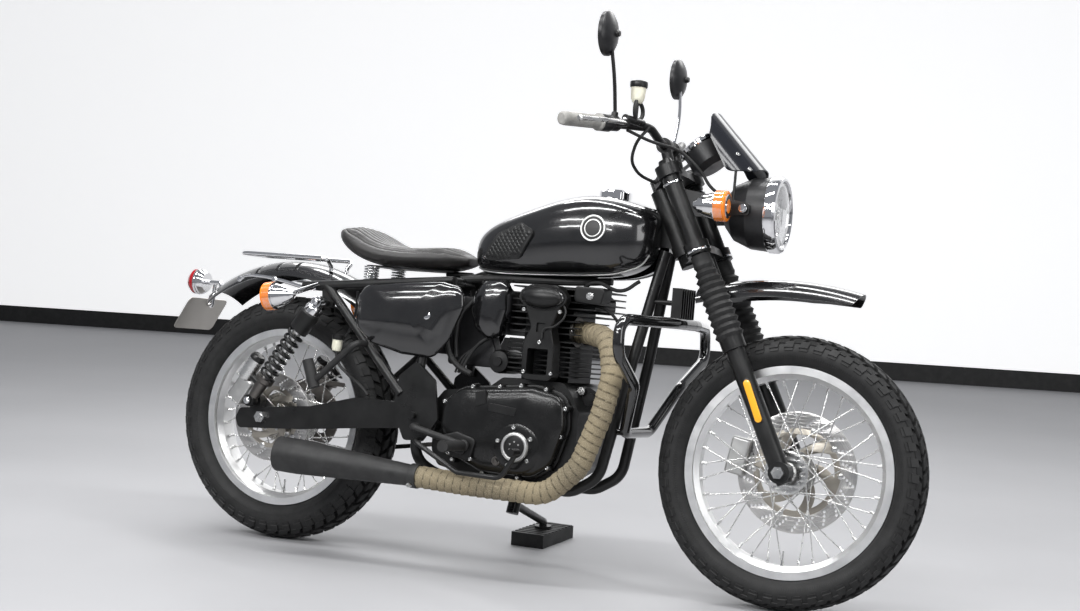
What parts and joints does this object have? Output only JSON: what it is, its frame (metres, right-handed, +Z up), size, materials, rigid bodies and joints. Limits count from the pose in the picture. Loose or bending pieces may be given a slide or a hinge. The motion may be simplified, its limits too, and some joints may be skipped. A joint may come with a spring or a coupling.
{
  "type": "motorcycle",
  "caption": "Retro roadster motorcycle with sprung solo seat, wire wheels, high front fender and engine guard, leaning on its side stand.",
  "frame": {"origin": "on the ground, under the centre of the overall box of the parked machine", "axes": "+X to the front of the machine, +Y to the rider's left, +Z up"},
  "size_m": [2.1423, 0.8266, 1.4253],
  "materials": {
    "black_paint": "gloss",
    "black_plastic": "matte",
    "bright_rim": "satin",
    "chain_steel": "oiled",
    "chrome": "polished",
    "grip_grey": "matte",
    "heat_wrap": "matte",
    "lamp_glass": "clear",
    "leather": "satin",
    "matte_black": "matte",
    "plate_metal": "matte",
    "rubber": "matte",
    "satin_black": "satin",
    "smoke_screen": "smoked",
    "steel": "brushed",
    "tyre": "matte"
  },
  "bodies": {
    "frame": {"frame_spine": "satin_black", "frame_cradle": "satin_black", "rear_frame": "satin_black", "swing_arm": "satin_black", "shocks": "satin_black", "drive_chain": "chain_steel", "crankcase": "satin_black", "clutch_cover": "satin_black", "left_cover": "satin_black", "cylinder": "satin_black", "cylinder_head": "satin_black", "cam_tower": "satin_black", "exhaust_pipe": "heat_wrap", "muffler": "matte_black", "fuel_tank": "black_paint", "tank_cap": "chrome", "knee_pads": "rubber", "seat": "leather", "seat_frame": "satin_black", "seat_springs": "steel", "side_panels": "black_paint", "air_box": "black_plastic", "rear_rack": "chrome", "number_plate": "plate_metal", "rear_lamps": "chrome", "footpegs": "rubber", "foot_levers": "satin_black", "engine_guard": "satin_black", "regulator": "satin_black", "rear_caliper": "steel", "rear_axle": "steel", "rear_fender": "black_paint", "stand_block": "rubber"},
    "steering": {"steering_stem": "satin_black", "fork_tubes": "satin_black", "fork_gaiters": "rubber", "fork_lowers": "satin_black", "front_axle": "steel", "front_fender": "black_paint", "front_caliper": "steel", "headlamp_shell": "black_plastic", "headlamp_glass": "lamp_glass", "front_indicators": "chrome", "gauge": "chrome", "fly_screen": "smoke_screen", "handlebar": "satin_black", "grips": "grip_grey", "bar_controls": "black_plastic", "mirrors": "black_plastic", "cables": "rubber"},
    "front_wheel": {"front_tyre": "tyre", "front_rim": "bright_rim", "front_hub": "steel", "front_disc": "steel"},
    "rear_wheel": {"rear_tyre": "tyre", "rear_rim": "bright_rim", "rear_hub": "steel", "rear_disc": "steel", "rear_sprocket": "steel"},
    "side_stand": {"side_stand": "satin_black"}
  },
  "joints": [
    {"name": "steering_turn", "type": "hinge", "parent": "frame", "child": "steering", "pos_m": [0.68952, -0.07429, 0.30759], "axis": [-0.4431, 0.0844, 0.8925], "range_deg": [-40, 32]},
    {"name": "front_wheel_spin", "type": "hinge", "parent": "steering", "child": "front_wheel", "pos_m": [0.73871, -0.06818, 0.33143], "axis": [-0.0625, 0.9902, -0.1246], "continuous": true},
    {"name": "rear_wheel_spin", "type": "hinge", "parent": "frame", "child": "rear_wheel", "pos_m": [-0.70117, -0.07204, 0.33135], "axis": [0, 0.9956, -0.0941], "continuous": true},
    {"name": "side_stand_fold", "type": "hinge", "parent": "frame", "child": "side_stand", "pos_m": [-0.06017, 0.04893, 0.14464], "axis": [0.0491, 0.3378, 0.9399], "range_deg": [0, 77.41]}
  ]
}
